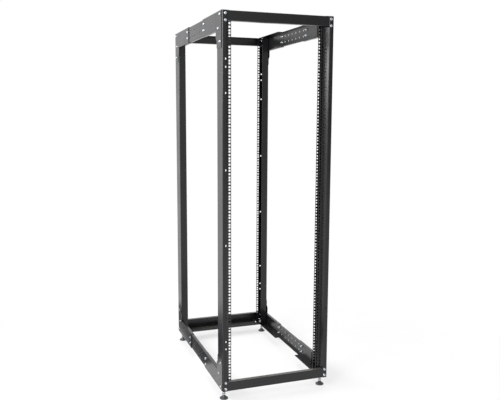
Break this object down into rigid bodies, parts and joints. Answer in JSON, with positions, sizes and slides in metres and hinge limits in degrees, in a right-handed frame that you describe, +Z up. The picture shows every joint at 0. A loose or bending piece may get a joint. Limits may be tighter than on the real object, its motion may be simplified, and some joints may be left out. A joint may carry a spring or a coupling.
{
  "type": "four post open frame rack",
  "caption": "Black four post open frame equipment rack with square-hole mounting columns, cross beams, bolted depth-adjusting side rails and levelling feet.",
  "frame": {"origin": "on the floor under the middle of the rack, the centre of the bounding box's underside", "axes": "+X to the right seen from the front, +Y to the rear, +Z up"},
  "size_m": [0.5558, 0.945, 1.837],
  "materials": {
    "post_coat": "satin black powder coat on folded steel",
    "beam_coat": "satin black powder coat on folded steel",
    "rail_coat": "satin black powder coat on folded steel",
    "foot_pad": "matt black moulded pad",
    "zinc": "bright zinc plate"
  },
  "bodies": {
    "root": {"post_front_left": "post_coat", "post_rear_left": "post_coat", "post_front_right": "post_coat", "post_rear_right": "post_coat", "beam_front_lower": "beam_coat", "beam_front_upper": "beam_coat", "beam_rear_lower": "beam_coat", "beam_rear_upper": "beam_coat", "rail_left_lower_front": "rail_coat", "rail_left_lower_middle": "rail_coat", "rail_left_lower_rear": "rail_coat", "rail_left_upper_front": "rail_coat", "rail_left_upper_middle": "rail_coat", "rail_left_upper_rear": "rail_coat", "rail_right_lower_front": "rail_coat", "rail_right_lower_middle": "rail_coat", "rail_right_lower_rear": "rail_coat", "rail_right_upper_front": "rail_coat", "rail_right_upper_middle": "rail_coat", "rail_right_upper_rear": "rail_coat", "foot_front_left_base": "foot_pad", "foot_front_left_stud": "zinc", "foot_front_left_nut": "zinc", "foot_rear_left_base": "foot_pad", "foot_rear_left_stud": "zinc", "foot_rear_left_nut": "zinc", "foot_front_right_base": "foot_pad", "foot_front_right_stud": "zinc", "foot_front_right_nut": "zinc", "foot_rear_right_base": "foot_pad", "foot_rear_right_stud": "zinc", "foot_rear_right_nut": "zinc"}
  },
  "joints": []
}
